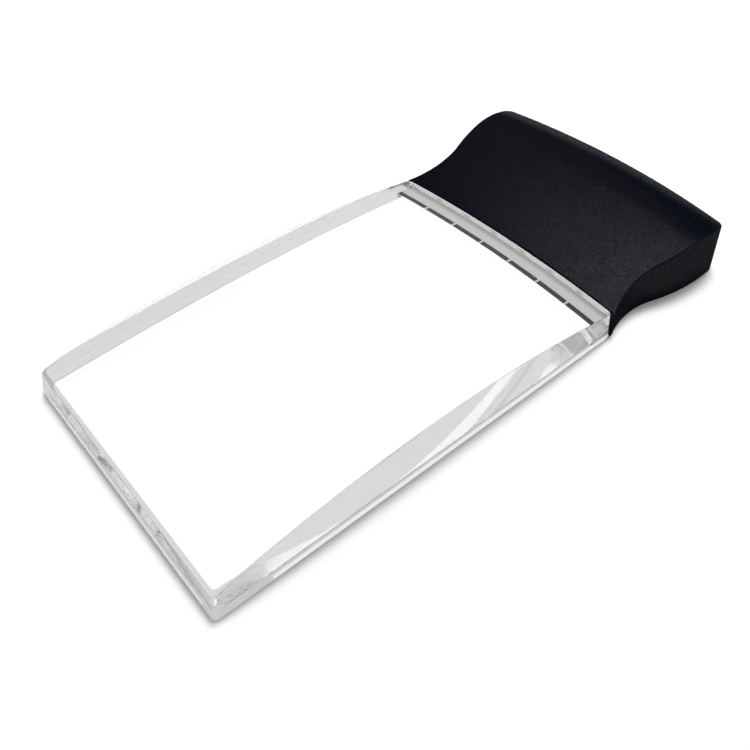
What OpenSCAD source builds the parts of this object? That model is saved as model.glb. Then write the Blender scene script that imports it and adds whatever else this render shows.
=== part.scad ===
// Lighted page magnifier: a clear arched block lens in a black wave-shaped grip

/* [Lens] */
// Length of the lens along its top, from its free end to the grip
lens_length = 155; // [130:1:170]
// Thickness of the lens at both ends
lens_end_height = 9.2; // [8.6:0.1:10]
// Extra thickness of the lens halfway along
lens_arch = 7; // [3:0.5:9]
// Width of the lens at its base
lens_base_width = 103; // [101:0.5:104]
// Lean of the long walls, inwards per mm of height
side_lean = 0.13; // [0:0.01:0.18]
// Lean of the free end wall, inwards per mm of height
end_lean = 0.18; // [0:0.01:0.2]
// Radius of the upright corners
lens_corner = 1.5; // [1:0.5:4]
// Width of the rim that the lens rests on
rim_width = 4; // [2:0.5:6]
// Height of the rim, which keeps the optical face off the page
rim_height = 0.4; // [0.2:0.1:0.8]

/* [Grip] */
// Length of the grip at its middle, from the lens to the rear face
grip_length = 60.5; // [60:0.5:62]
// Height of the rear crest above the table
crest_height = 19.5; // [18.5:0.5:21]
// Half width of the grip at its waist
waist_half = 48; // [47.6:0.2:49]
// Half width of the grip where it flares, near the rear
flare_half = 53.2; // [52.8:0.2:54.4]
// Radius of the arc, seen from above, where the lens meets the grip
joint_radius = 430; // [420:10:600]
// Wall thickness of the moulded shell
shell_wall = 1.8; // [1.4:0.1:1.8]
// How far the ledge of the base reaches under the lens
ledge_length = 8; // [6:0.1:9]

/* [Cells] */
// Diameter of a size AAA cell
cell_diameter = 10.5; // [10:0.1:10.5]
// Length of a size AAA cell over its terminals
cell_length = 44.5; // [43:0.1:44.5]

/* [Light] */
// Number of light-emitting diodes along the lens
led_count = 6; // [2:2:6]
// Distance between neighbouring diodes
led_pitch = 14; // [10:1:15]

/* [Controls] */
// Diameter of the push button on the rear face
button_diameter = 8.4; // [6:0.2:9]
// How far the button stands out of the rear face
button_proud = 1; // [0.9:0.1:2]
// How far the button travels
button_travel = 0.8; // [0.4:0.1:0.8]

/* [Hidden] */
$fn = 64;
wide_arc = 720;
reach = 130;
slack = 0.1;
joint_gap = 0.05;
// Each arc of the grip reaches this far over the one before it, so that the two cross at a clean edge
arc_overlap = 0.02;

// Where the two circles a and b cross, on the side of a to b that side picks
function crossing(a, ra, b, rb, side) =
    let (gap = norm(b - a),
         along = (ra * ra - rb * rb + gap * gap) / (2 * gap),
         off = side * sqrt(ra * ra - along * along),
         way = (b - a) / gap)
    a + along * way + off * [-way[1], way[0]];

// Along the object, zero is where the long walls of the lens meet the grip
joint_half = 50;
joint_bow = joint_radius - sqrt(joint_radius * joint_radius - joint_half * joint_half);
axis_at = joint_bow - joint_radius;
rear_at = joint_bow + grip_length;
lens_base_end = -lens_length - end_lean * lens_end_height;
middle_at = (lens_base_end + rear_at + button_proud) / 2;

// Arch of the lens top, a single arc over the whole length
arch_end = joint_bow / 2;
arch_half = (lens_length + arch_end) / 2;
arch_radius = (arch_half * arch_half + lens_arch * lens_arch) / (2 * lens_arch);
arch_top = lens_end_height + lens_arch;

// Side profile of the grip: a long swelling rise, a tighter crest and a rounded rear edge
crest_at = 46.5;
crest_radius = 41.5;
rise_radius = 370;
rear_round = 3.5;
crest_centre = [crest_at, crest_height - crest_radius];
rise_centre = crossing([0, lens_end_height], rise_radius, crest_centre,
                       rise_radius - crest_radius, -1);
rear_centre_at = grip_length - rear_round;
rear_centre_z = crest_centre[1] + sqrt(pow(crest_radius - rear_round, 2)
                                       - pow(rear_centre_at - crest_at, 2));

// Outline of the grip from above: a drawn-in waist, a flare and rounded rear corners
waist_at = 15;
waist_radius = 34;
flare_at = 49.5;
corner_radius = 6;
lead_in = 5;
waist_centre = [waist_at, waist_half + waist_radius];
waist_drop = waist_centre[1] - flare_half;
flare_radius = (pow(flare_at - waist_at, 2) + waist_drop * waist_drop - waist_radius * waist_radius)
               / (2 * (waist_radius - waist_drop));
flare_centre = [flare_at, flare_half - flare_radius];
corner_centre = crossing([axis_at, 0], joint_radius + grip_length - corner_radius,
                         flare_centre, flare_radius - corner_radius, 1);

// Heights of the base and what stands on it
skirt_z = 0.3;
base_z = 0.4;
base_top = 2.4;
base_gap = 0.15;
ledge_top = 2;
ledge_half = 49.3;
ledge_root_half = 47;
tape_height = 0.3;
tape_margin = 2.2;
tape_side_margin = 0.3;
finger_half = 0.35;
rebate_top = ledge_top + tape_height;

// Battery bay, with the cells lying across the grip
door_bottom = 0.5;
door_top = 2.3;
pad_height = 0.3;
cell_radius = cell_diameter / 2;
cell_gap = 0.2;
cell_pitch = cell_diameter + cell_gap;
cell_z = door_top + pad_height + slack + cell_radius;
first_cell_at = 28;
nub_radius = 1.9;
nub_height = 1.2;
bay_margin = 0.4;
bay_rear_margin = 0.25;
hinge_inset = 1;
bay_front = first_cell_at - cell_radius - bay_margin - hinge_inset;
bay_rear = first_cell_at + 2 * cell_pitch + cell_radius + bay_rear_margin;
bay_half = 24.6;
bay_wall = 1.2;
bay_rear_wall = 0.8;
bay_wall_top = 9;
hinge_at = bay_front + hinge_inset;
hinge_z = (door_bottom + door_top) / 2;
hinge_pin_radius = 0.6;
hinge_pin_length = 1.2;
running_gap = 0.05;
door_gap = 0.3;
door_rear = bay_rear - door_gap;
tongue_half = 5;
tongue_root = 1;
tongue_top = 4.2;
scoop_radius = 9;
scoop_depth = 0.8;
scoop_inset = 7;
pad_inset = 4;
pad_side_inset = 8;

// Stamped contacts at the cell ends
contact_sheet = 0.4;
contact_size = 8;
contact_gap = 0.2;
contact_reach = cell_length / 2 + contact_gap;
leaf_radius = 4;
leaf_height = 5;
leaf_front = contact_reach - 1;
leaf_back = bay_half - contact_sheet / 2;
dimple_tip = 1.4;
dimple_root = 2.2;

// Light strip behind the end of the lens
board_at = 5.2;
board_thick = 1;
board_half = 44;
board_low = 2.6;
board_high = 7.6;
led_size = [1.8, 3.5, 2.8];
led_z = 4.9;
window_half = 45.4;
window_top = 7.5;
chip_size = [0.6, 2, 1.2];
chip_beside = 4;
reflector_at = 3;
reflector_wall = 0.4;

// Switch behind the rear face
button_z = 7.9;
button_gap = 0.3;
flange_lip = 1;
flange_radius = button_diameter / 2 + flange_lip;
flange_thick = 0.8;
flange_gap = 0.2;
flange_at = rear_at - shell_wall - flange_gap - flange_thick;
plunger_radius = 1.6;
switch_at = bay_rear + bay_rear_wall + slack;
switch_board_thick = 0.8;
switch_half = 3;
switch_thick = 2.2;
switch_floor = 0.5;
switch_board_rise = 4.5;
post_side = 1.2;
light_post_width = 2;
light_post_height = 3;
switch_post_height = 4;

// Screws up through the base into the shell, and pads under the base
screw_places = [[12, 42], [42, 46]];
screw_radius = 1.1;
screw_tip = 8.5;
screw_head_radius = 2.2;
screw_head_z = [0.6, 1.8];
boss_radius = 3;
pad_places = [[14, 30], [52, 38]];
foot_radius = 4;
foot_top = 1.25;

// Routes of the leads inside the grip
lead_radius = 0.7;
red_route = [[49.4, 25.4, 10.4], [53, 26.5, 10.6], [57.3, 23, 10.2], [58, 13, 9.5], [57.4, 5, 9]];
black_route = [[28, -25.4, 10.4], [21, -29, 8], [12, -28, 5.8], [7.3, -20, 5.5]];
switch_route = [[57.4, -5, 9], [58.2, -14, 8], [57, -31, 5], [44, -35, 4.5], [22, -35, 4.5],
                [11, -33, 5], [7.3, -25.5, 5.5]];

// Places the whole object with its middle over the origin
module placed() {
    translate([-middle_at, 0, 0]) children();
}

// Both mirror halves of a piece that lies on the +Y side
module both_sides() {
    children();
    mirror([0, 1, 0]) children();
}

// Everything nearer to the lens than an arc parallel to the joint
module inside_arc(offset_from_joint, low, high) {
    translate([axis_at, 0, low])
        cylinder(r = joint_radius + offset_from_joint, h = high - low, $fn = wide_arc);
}

// A point on the smooth curve through the route, share of the way from point i to the next
function route_point(route, i, share) =
    let (last = len(route) - 1,
         a = route[max(i - 1, 0)],
         b = route[i],
         c = route[min(i + 1, last)],
         d = route[min(i + 2, last)])
    b + share * (c - a) / 2 + share * share * (a - 2.5 * b + 2 * c - 0.5 * d)
      + share * share * share * (1.5 * (b - c) + (d - a) / 2);

// A lead that follows its route as one unbroken tube
module lead(route) {
    sides = 8;
    steps = 4;
    spans = len(route) - 1;
    path = [for (i = [0 : steps * spans])
        route_point(route, min(floor(i / steps), spans - 1), i == steps * spans ? 1 : (i % steps) / steps)];
    last = len(path) - 1;
    skin = [for (i = [0 : last])
        let (way = path[min(i + 1, last)] - path[max(i - 1, 0)],
             across = cross(way, [0, 0, 1]) / norm(cross(way, [0, 0, 1])),
             up = cross(across, way) / norm(way))
        for (k = [0 : sides - 1])
            path[i] + lead_radius * (cos(360 * k / sides) * across + sin(360 * k / sides) * up)];
    walls = [for (i = [0 : last - 1])
        for (k = [0 : sides - 1])
            [i * sides + k, i * sides + (k + 1) % sides,
             (i + 1) * sides + (k + 1) % sides, (i + 1) * sides + k]];
    start_cap = [for (k = [0 : sides - 1]) sides - 1 - k];
    end_cap = [for (k = [0 : sides - 1]) last * sides + k];
    polyhedron(skin, concat([start_cap, end_cap], walls));
}

// Upright slab: half width from the middle plane, from one height to another
module slab(from_at, to_at, half, low, high) {
    translate([from_at, -half, low]) cube([to_at - from_at, 2 * half, high - low]);
}

// Outline of the lens from above, at its base
module lens_outline() {
    half = lens_base_width / 2;
    for (at = [lens_base_end + lens_corner, -lens_corner])
        for (side = [-1, 1])
            translate([at, side * (half - lens_corner)]) circle(r = lens_corner);
    translate([lens_base_end + lens_corner, -half])
        square([-lens_base_end - 2 * lens_corner, 2 * half]);
    translate([lens_base_end, lens_corner - half])
        square([joint_bow + 1 - lens_base_end, 2 * (half - lens_corner)]);
}

// Lengthwise section of the lens: a leaning free end under one long arc
module lens_section() {
    lean_top = lens_base_end + end_lean * reach;
    intersection() {
        polygon([[lens_base_end, 0], [joint_bow + 1, 0], [joint_bow + 1, reach], [lean_top, reach]]);
        translate([arch_end - arch_half, arch_top - arch_radius]) circle(r = arch_radius, $fn = wide_arc);
    }
}

// Cross section of the lens: both long walls lean inwards
module lens_cross_section() {
    base = lens_base_width / 2;
    top = base - side_lean * reach / 2;
    polygon([[-base, 0], [base, 0], [top, reach / 2], [-top, reach / 2]]);
}

module lens() {
    optic_half = lens_base_width / 2 - rim_width;
    color("aliceblue", 0.5) placed() difference() {
        intersection() {
            linear_extrude(arch_top + 1) lens_outline();
            rotate([90, 0, 0]) linear_extrude(2 * reach, center = true) lens_section();
            translate([lens_base_end - 1, 0, 0]) rotate([90, 0, 90])
                linear_extrude(2 * reach) lens_cross_section();
            inside_arc(-joint_gap, 0, arch_top + 1);
        }
        difference() {
            slab(-2 * ledge_length, joint_bow + 1, ledge_half + slack, -1, rebate_top);
            inside_arc(-ledge_length - slack, -2, rebate_top + 1);
        }
        intersection() {
            slab(lens_base_end + rim_width, 0, optic_half, -1, rim_height);
            inside_arc(-ledge_length / 2, -2, rim_height + 1);
        }
    }
}

// Tape on the ledge, with a narrow finger over its front lip at each diode
module lens_tape() {
    color("whitesmoke") placed() difference() {
        intersection() {
            slab(-2 * ledge_length, joint_bow + 1, ledge_half - tape_side_margin, ledge_top, rebate_top);
            inside_arc(-slack, ledge_top, rebate_top);
        }
        difference() {
            inside_arc(tape_margin - ledge_length, ledge_top - 1, rebate_top + 1);
            at_leds() translate([-2 * ledge_length, -finger_half, -led_z])
                cube([2 * ledge_length, 2 * finger_half, 2 * led_z]);
        }
        inside_arc(slack - ledge_length, ledge_top - 1, rebate_top + 1);
    }
}

// Side section of the grip, drawn in by inset all round, from height low upwards
module grip_section(inset, low) {
    arc = crest_radius - inset;
    rise_end = crest_at - (rise_centre[0] - crest_at) * arc / (rise_radius - crest_radius);
    round_start = crest_at + (rear_centre_at - crest_at) * arc / (crest_radius - rear_round);
    rear_face = grip_length - inset;
    translate([joint_radius, 0]) difference() {
        intersection() {
            translate([inset, low]) square([rear_face - inset, crest_height + 1]);
            translate(rise_centre) circle(r = rise_radius - inset, $fn = wide_arc);
        }
        difference() {
            translate([rise_end, rear_centre_z]) square(crest_height);
            translate(crest_centre) circle(r = arc + arc_overlap, $fn = wide_arc);
        }
        difference() {
            translate([round_start, rear_centre_z]) square(crest_height);
            translate([rear_centre_at, rear_centre_z]) circle(r = rear_round - inset + 2 * arc_overlap);
        }
    }
}

// Outline of the grip from above, drawn in by inset all round, open at the rear
module grip_outline(inset) {
    rear_radius = joint_radius + grip_length;
    waist_share = (waist_radius + inset) / (waist_radius + flare_radius);
    waist_end = waist_at + waist_share * (flare_at - waist_at);
    flare_share = (flare_radius - inset) / (flare_radius - corner_radius);
    flare_end = flare_at + flare_share * (corner_centre[0] - flare_at);
    corner_end = corner_centre[1] * (rear_radius - inset) / (rear_radius - corner_radius);
    difference() {
        translate([-lead_in, -reach / 2]) square(reach);
        both_sides() {
            translate(waist_centre) circle(r = waist_radius + inset, $fn = wide_arc);
            difference() {
                translate([waist_end, 0]) square(reach);
                translate(flare_centre) circle(r = flare_radius - inset + arc_overlap, $fn = wide_arc);
            }
            difference() {
                translate([flare_end, corner_end]) square(reach);
                translate(corner_centre) circle(r = corner_radius - inset + 2 * arc_overlap);
            }
        }
    }
}

// Solid grip body, drawn in by inset, from height low upwards
module grip_body(inset, low) {
    sweep = 16;
    intersection() {
        translate([axis_at, 0, 0]) rotate([0, 0, -sweep / 2])
            rotate_extrude(angle = sweep, $fn = wide_arc) grip_section(inset, low);
        translate([0, 0, low]) linear_extrude(crest_height + 1) grip_outline(inset);
    }
}

// Runs its children at each screw place, both sides
module at_screws() {
    for (place = screw_places)
        for (side = [-1, 1])
            translate([place[0], side * place[1], 0]) children();
}

// Runs its children at each foot pad place, both sides
module at_pads() {
    for (place = pad_places)
        for (side = [-1, 1])
            translate([place[0], side * place[1], 0]) children();
}

module upper_shell() {
    boss_z = base_top + slack;
    color([0.06, 0.06, 0.07]) placed() difference() {
        union() {
            difference() {
                grip_body(0, skirt_z);
                grip_body(shell_wall, skirt_z - 1);
            }
            intersection() {
                grip_body(shell_wall / 2, skirt_z);
                at_screws() translate([0, 0, boss_z]) cylinder(r = boss_radius, h = crest_height);
            }
        }
        at_screws() translate([0, 0, -1]) cylinder(r = screw_radius + running_gap, h = screw_tip + 2);
        slab(-1, board_at, window_half, -1, window_top);
        slab(-1, board_at, ledge_root_half + 2 * slack, -1, base_top + slack);
        translate([flange_at, 0, button_z]) rotate([0, 90, 0])
            cylinder(r = button_diameter / 2 + button_gap, h = 2 * shell_wall + 2);
    }
}

// Walls of the battery bay, standing on the base
module bay_walls() {
    difference() {
        slab(bay_front - bay_wall, bay_rear + bay_rear_wall, bay_half + bay_wall, base_z, bay_wall_top);
        slab(bay_front, bay_rear, bay_half, base_z - 1, bay_wall_top + 1);
    }
}

// Posts that hold the two boards upright
module board_posts() {
    light_post_at = board_at + board_thick + slack;
    switch_post = switch_half * 2 + slack;
    both_sides() {
        translate([light_post_at, board_half - light_post_width, base_top - slack])
            cube([post_side, light_post_width, light_post_height]);
        translate([switch_at - slack, switch_post, base_top - slack])
            cube([2 * post_side, post_side, switch_post_height]);
    }
}

// Ledge under the end of the lens, on a narrower root behind the joint
module ledge() {
    difference() {
        union() {
            intersection() {
                slab(-2 * ledge_length, board_at, ledge_root_half, base_z, ledge_top);
                inside_arc(shell_wall + 1, base_z, ledge_top);
            }
            intersection() {
                slab(-2 * ledge_length, board_at, ledge_half, base_z, ledge_top);
                inside_arc(-2 * joint_gap, base_z, ledge_top);
            }
        }
        inside_arc(-ledge_length, base_z - 1, ledge_top + 1);
    }
}

module base_plate() {
    color([0.08, 0.08, 0.085]) placed() difference() {
        union() {
            intersection() {
                grip_body(shell_wall + base_gap, base_z);
                slab(-1, reach, reach, base_z, base_top);
            }
            ledge();
            bay_walls();
            board_posts();
        }
        slab(bay_front, bay_rear, bay_half, base_z - 1, base_top + 1);
        translate([hinge_at, 0, hinge_z]) rotate([90, 0, 0])
            cylinder(r = hinge_pin_radius + running_gap, center = true,
                     h = 2 * (bay_half + hinge_pin_length));
        at_screws() translate([0, 0, -1]) cylinder(r = screw_radius + 2 * slack, h = base_top + 2);
        at_screws() translate([0, 0, -1])
            cylinder(r = screw_head_radius + slack, h = screw_head_z[1] + 1);
        at_pads() translate([0, 0, -1]) cylinder(r = foot_radius + slack, h = foot_top + 1);
    }
}

module battery_door() {
    barrel = (door_top - door_bottom) / 2;
    half = bay_half - door_gap;
    color([0.08, 0.08, 0.085]) placed() {
        difference() {
            union() {
                slab(hinge_at, door_rear, half, door_bottom, door_top);
                translate([hinge_at, 0, hinge_z]) rotate([90, 0, 0])
                    cylinder(r = barrel, h = 2 * half, center = true);
                slab(door_rear - tongue_root, door_rear - door_gap, tongue_half,
                     door_top - slack, tongue_top);
            }
            translate([door_rear - scoop_inset, 0, door_bottom - scoop_radius + scoop_depth])
                sphere(r = scoop_radius);
        }
        translate([hinge_at, 0, hinge_z]) rotate([90, 0, 0])
            cylinder(r = hinge_pin_radius, center = true, h = 2 * (bay_half + hinge_pin_length - slack));
    }
}

module door_pad() {
    color("dimgray") placed()
        slab(hinge_at + pad_inset, door_rear - pad_inset, bay_half - pad_side_inset,
             door_top, door_top + pad_height);
}

// A cell lying across the grip, its raised terminal on the side that way picks
module cell(index, way) {
    body = cell_length - nub_height;
    translate([first_cell_at + index * cell_pitch, 0, cell_z]) rotate([-90 * way, 0, 0]) {
        translate([0, 0, -cell_length / 2]) cylinder(r = cell_radius, h = body);
        translate([0, 0, cell_length / 2 - nub_height - slack])
            cylinder(r = nub_radius, h = nub_height + slack);
    }
}

module front_cell() {
    color("goldenrod") placed() cell(0, 1);
}

module middle_cell() {
    color("goldenrod") placed() cell(1, -1);
}

module rear_cell() {
    color("goldenrod") placed() cell(2, 1);
}

// Square contact sheet against the bay wall on the +Y side
module contact_plate() {
    translate([-contact_size / 2, bay_half - contact_sheet, -contact_size / 2])
        cube([contact_size, contact_sheet, contact_size]);
}

// Contact with a bowed leaf that presses on the flat end of a cell
module spring_contact() {
    contact_plate();
    translate([0, 0, -leaf_height / 2]) intersection() {
        translate([0, contact_reach + leaf_radius, 0]) difference() {
            cylinder(r = leaf_radius, h = leaf_height);
            translate([0, 0, -1]) cylinder(r = leaf_radius - contact_sheet, h = leaf_height + 2);
        }
        translate([-leaf_radius, leaf_front, 0])
            cube([2 * leaf_radius, leaf_back - leaf_front, leaf_height]);
    }
}

// Contact with a raised dimple that meets the raised terminal of a cell
module plate_contact() {
    contact_plate();
    translate([0, contact_reach, 0]) rotate([-90, 0, 0])
        cylinder(r1 = dimple_tip, r2 = dimple_root, h = bay_half - contact_sheet - contact_reach + slack);
}

// Runs its children at the end of each cell: raised is 1 for the raised terminals
module at_cell_ends(raised) {
    for (index = [0 : 2]) {
        side = (index == 1 ? -1 : 1) * raised;
        translate([first_cell_at + index * cell_pitch, 0, cell_z])
            mirror([0, side > 0 ? 0 : 1, 0]) children();
    }
}

module spring_contacts() {
    color("silver") placed() at_cell_ends(-1) spring_contact();
}

module plate_contacts() {
    color("silver") placed() at_cell_ends(1) plate_contact();
}

// Runs its children at each diode along the light strip
module at_leds() {
    for (i = [0 : led_count - 1])
        translate([0, (i - (led_count - 1) / 2) * led_pitch, led_z]) children();
}

module led_board() {
    color("ivory") placed() slab(board_at, board_at + board_thick, board_half, board_low, board_high);
}

module leds() {
    color("lemonchiffon") placed() at_leds()
        translate([board_at - led_size[0], -led_size[1] / 2, -led_size[2] / 2]) cube(led_size);
}

module led_resistors() {
    color([0.12, 0.12, 0.12]) placed() at_leds()
        translate([board_at + board_thick, chip_beside, -chip_size[2] / 2]) cube(chip_size);
}

module reflector() {
    low = base_top + slack;
    high = window_top - slack;
    half = window_half - slack;
    color("white") placed() difference() {
        slab(reflector_at, board_at - slack, half, low, high);
        slab(reflector_at - 1, board_at + 1, half - reflector_wall,
             low + reflector_wall, high - reflector_wall);
        inside_arc(slack, 0, crest_height);
    }
}

module switch_board() {
    color("darkgreen") placed()
        slab(switch_at, switch_at + switch_board_thick, switch_half * 2,
             base_top + slack, button_z + switch_board_rise);
}

module switch_body() {
    front = switch_at + switch_board_thick;
    color([0.1, 0.1, 0.1]) placed() difference() {
        slab(front, front + switch_thick, switch_half, button_z - switch_half, button_z + switch_half);
        translate([front + switch_floor, 0, button_z]) rotate([0, 90, 0])
            cylinder(r = plunger_radius + running_gap, h = switch_thick);
    }
}

module switch_plunger() {
    inner = switch_at + switch_board_thick + switch_floor + button_travel + slack;
    color("white") placed() translate([inner, 0, button_z]) rotate([0, 90, 0])
        cylinder(r = plunger_radius, h = flange_at - inner);
}

module power_button() {
    stem = rear_at + button_proud - flange_at;
    dome = 24;
    color([0.16, 0.16, 0.17]) placed() translate([flange_at, 0, button_z]) rotate([0, 90, 0])
        intersection() {
            union() {
                cylinder(r = flange_radius, h = flange_thick);
                cylinder(r = button_diameter / 2, h = stem);
            }
            translate([0, 0, stem - dome]) sphere(r = dome, $fn = 180);
        }
}

module shell_screws() {
    color("gray") placed() at_screws() {
        translate([0, 0, screw_head_z[0]])
            cylinder(r = screw_head_radius, h = screw_head_z[1] - screw_head_z[0]);
        translate([0, 0, screw_head_z[0]]) cylinder(r = screw_radius, h = screw_tip - screw_head_z[0]);
    }
}

module foot_pads() {
    color([0.12, 0.12, 0.12]) placed() at_pads() cylinder(r = foot_radius, h = foot_top);
}

module red_lead() {
    color("red") placed() lead(red_route);
}

module black_lead() {
    color([0.05, 0.05, 0.05]) placed() lead(black_route);
}

module switch_lead() {
    color("red") placed() lead(switch_route);
}

lens();
lens_tape();
upper_shell();
base_plate();
battery_door();
door_pad();
front_cell();
middle_cell();
rear_cell();
spring_contacts();
plate_contacts();
led_board();
leds();
led_resistors();
reflector();
switch_board();
switch_body();
switch_plunger();
power_button();
shell_screws();
foot_pads();
red_lead();
black_lead();
switch_lead();
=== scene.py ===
"""A lighted page magnifier: a clear block lens in a black grip, lying on a white ground."""

import logging
import math
from dataclasses import dataclass, field, replace
from enum import Enum
from typing import Callable

import bmesh
import bpy
from mathutils import Matrix, Vector

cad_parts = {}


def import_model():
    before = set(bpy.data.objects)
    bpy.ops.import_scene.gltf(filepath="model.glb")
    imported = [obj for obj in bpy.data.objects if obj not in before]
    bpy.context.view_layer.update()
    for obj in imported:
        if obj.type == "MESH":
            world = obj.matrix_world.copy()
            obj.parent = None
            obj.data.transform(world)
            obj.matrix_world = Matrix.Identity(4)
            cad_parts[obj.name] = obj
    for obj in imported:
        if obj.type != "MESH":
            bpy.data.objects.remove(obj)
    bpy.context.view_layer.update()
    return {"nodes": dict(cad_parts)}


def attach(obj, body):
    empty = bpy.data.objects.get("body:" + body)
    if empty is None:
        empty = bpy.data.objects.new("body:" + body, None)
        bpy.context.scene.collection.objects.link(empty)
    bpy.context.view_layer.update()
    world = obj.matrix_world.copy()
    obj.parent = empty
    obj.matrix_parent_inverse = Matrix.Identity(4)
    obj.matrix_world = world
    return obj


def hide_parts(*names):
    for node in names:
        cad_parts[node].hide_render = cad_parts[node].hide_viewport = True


log = logging.getLogger("magnifier")

Point = tuple[float, float, float]
Tree = bpy.types.NodeTree
Node = bpy.types.Node
Socket = bpy.types.NodeSocket

ROOT = "magnifier"
WHITE = "ffffff"


class Face(Enum):
    """Which finish a face of the lens gets, as its place in the list of materials."""

    POLISHED = 0
    WALL = 1
    SATIN = 2
    FROSTED = 3
    EASED = 4
    PAINTED_LINE = 5


def mm(length: float) -> float:
    """Millimetres as metres."""
    return length / 1000


def from_hex(colour: str) -> tuple[float, float, float, float]:
    """Turns an sRGB hex colour into linear RGBA.

    Args:
        colour: six hex digits, as in "1a1b1d".

    Returns:
        Linear red, green, blue and an alpha of 1.
    """
    channels = [int(colour[i : i + 2], 16) / 255 for i in (0, 2, 4)]
    linear = [c / 12.92 if c <= 0.04045 else ((c + 0.055) / 1.055) ** 2.4 for c in channels]
    return (linear[0], linear[1], linear[2], 1.0)


def smooth_step(low: float, high: float, value: float) -> float:
    """Rises smoothly from 0 at low to 1 at high."""
    share = min(max((value - low) / (high - low), 0.0), 1.0)
    return share * share * (3 - 2 * share)


def quarter_turn(count: int) -> list[float]:
    """Angles from 0 to a right angle, in radians, in a number of equal steps."""
    return [math.radians(90 * i / count) for i in range(count + 1)]


def add_object(name: str, data: bpy.types.ID) -> bpy.types.Object:
    """Makes an object and links it to the scene.

    Args:
        name: the object's name.
        data: its mesh, light or camera.

    Returns:
        The new object.
    """
    thing = bpy.data.objects.new(name, data)
    bpy.context.scene.collection.objects.link(thing)
    return thing


def add_node(tree: Tree, kind: str, sockets: dict[str | int, object] | None = None,
             **settings: object) -> Node:
    """Adds one node and wires it up.

    Args:
        tree: the node tree that gets the node.
        kind: the node's type name without the leading ShaderNode, such as "TexNoise".
        sockets: input name or number to a value, or to the output socket or node that feeds it, where a
            node stands for the first of its outputs that is in use.
        settings: attributes set on the node itself.

    Returns:
        The new node.
    """
    node = tree.nodes.new(f"ShaderNode{kind}")
    for name, value in settings.items():
        setattr(node, name, value)
    for name, value in (sockets or {}).items():
        if isinstance(value, Node):
            value = next(output for output in value.outputs if output.enabled)
        if isinstance(value, Socket):
            tree.links.new(value, node.inputs[name])
        else:
            node.inputs[name].default_value = value
    return node


def new_material(name: str) -> tuple[bpy.types.Material, Tree]:
    """Makes an empty material.

    Args:
        name: the material's name, which says what it is made of and how.

    Returns:
        The material and its node tree.
    """
    material = bpy.data.materials.new(name)
    material.use_nodes = True
    material.node_tree.nodes.clear()
    return material, material.node_tree


def let_light_by(tree: Tree, shader: Node, shade: str) -> Node:
    """Lets light on its way to the ground pass straight through a clear surface.

    Args:
        tree: the node tree of the material.
        shader: the shader that everything else sees.
        shade: hex colour of the light that gets out to the ground beside the lens.

    Returns:
        The shader to use instead.
    """
    path = add_node(tree, "LightPath")
    lighting = add_node(tree, "Math",
                        {0: path.outputs["Is Shadow Ray"], 1: path.outputs["Is Diffuse Ray"]},
                        operation="MAXIMUM")
    inside = add_node(tree, "NewGeometry").outputs["Backfacing"]
    passed = add_node(tree, "Mix",
                      {"Factor": inside, "A": from_hex(shade), "B": from_hex(WHITE)}, data_type="RGBA")
    open_way = add_node(tree, "BsdfTransparent", {"Color": passed})
    return add_node(tree, "MixShader", {0: lighting, 1: shader, 2: open_way})


@dataclass(frozen=True)
class Speckled:
    """A surface with a mottled colour and a fine grain.

    Attributes:
        name: what it is made of and how.
        base: hex colour of most of it.
        fleck: hex colour of the lighter or darker flecks in it.
        grain: size of a fleck in mm.
        relief: height of the grain in mm.
        roughness: how far it scatters a reflection.
        span: levels of the noise where a fleck begins and where it is full.
    """

    name: str
    base: str
    fleck: str
    grain: float
    relief: float
    roughness: float
    span: tuple[float, float] = (0.35, 0.75)

    def speckle(self, tree: Tree) -> tuple[Node, Node, Node]:
        """Draws the flecks, in colour and in relief.

        Args:
            tree: the node tree of the material.

        Returns:
            The colour, how far each place is a fleck, and the normal of the grain.
        """
        place = add_node(tree, "TexCoord").outputs["Object"]
        noise = add_node(tree, "TexNoise",
                         {"Vector": place, "Scale": 1 / mm(self.grain), "Detail": 2.0, "Roughness": 0.6})
        fleck = add_node(tree, "MapRange",
                         {"Value": noise, "From Min": self.span[0], "From Max": self.span[1]})
        colour = add_node(tree, "Mix",
                          {"Factor": fleck, "A": from_hex(self.base), "B": from_hex(self.fleck)},
                          data_type="RGBA")
        bump = add_node(tree, "Bump", {"Height": noise, "Distance": mm(self.relief), "Strength": 1.0})
        return colour, fleck, bump


@dataclass(frozen=True)
class Finish(Speckled):
    """A plain plastic, board, film, foam or metal.

    Attributes:
        metallic: 1 for bare metal.
        ior: index of refraction of what isn't metal.
        shine: share of the plain surface's reflection that a dull one keeps, 0.5 for all of it.
        painted_light: strength of the light painted on it, a stand-in for light that the clear block pipes
            to it.
    """

    metallic: float = 0.0
    ior: float = 1.5
    shine: float = 0.5
    painted_light: float = 0.0

    def material(self) -> bpy.types.Material:
        """Builds the material.

        Returns:
            The new material.
        """
        material, tree = new_material(self.name)
        colour, _, grain = self.speckle(tree)
        looks = {"Base Color": colour, "Normal": grain, "Roughness": self.roughness}
        if self.metallic:
            looks |= {"Metallic": self.metallic}
        else:
            looks |= {"IOR": self.ior, "Specular IOR Level": self.shine}
        # Emission here is painted light, a stand-in for light that the clear block pipes to it
        if self.painted_light:
            looks |= {"Emission Color": colour, "Emission Strength": self.painted_light}
        shader = add_node(tree, "BsdfPrincipled", looks)
        add_node(tree, "OutputMaterial", {"Surface": shader})
        return material


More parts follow.
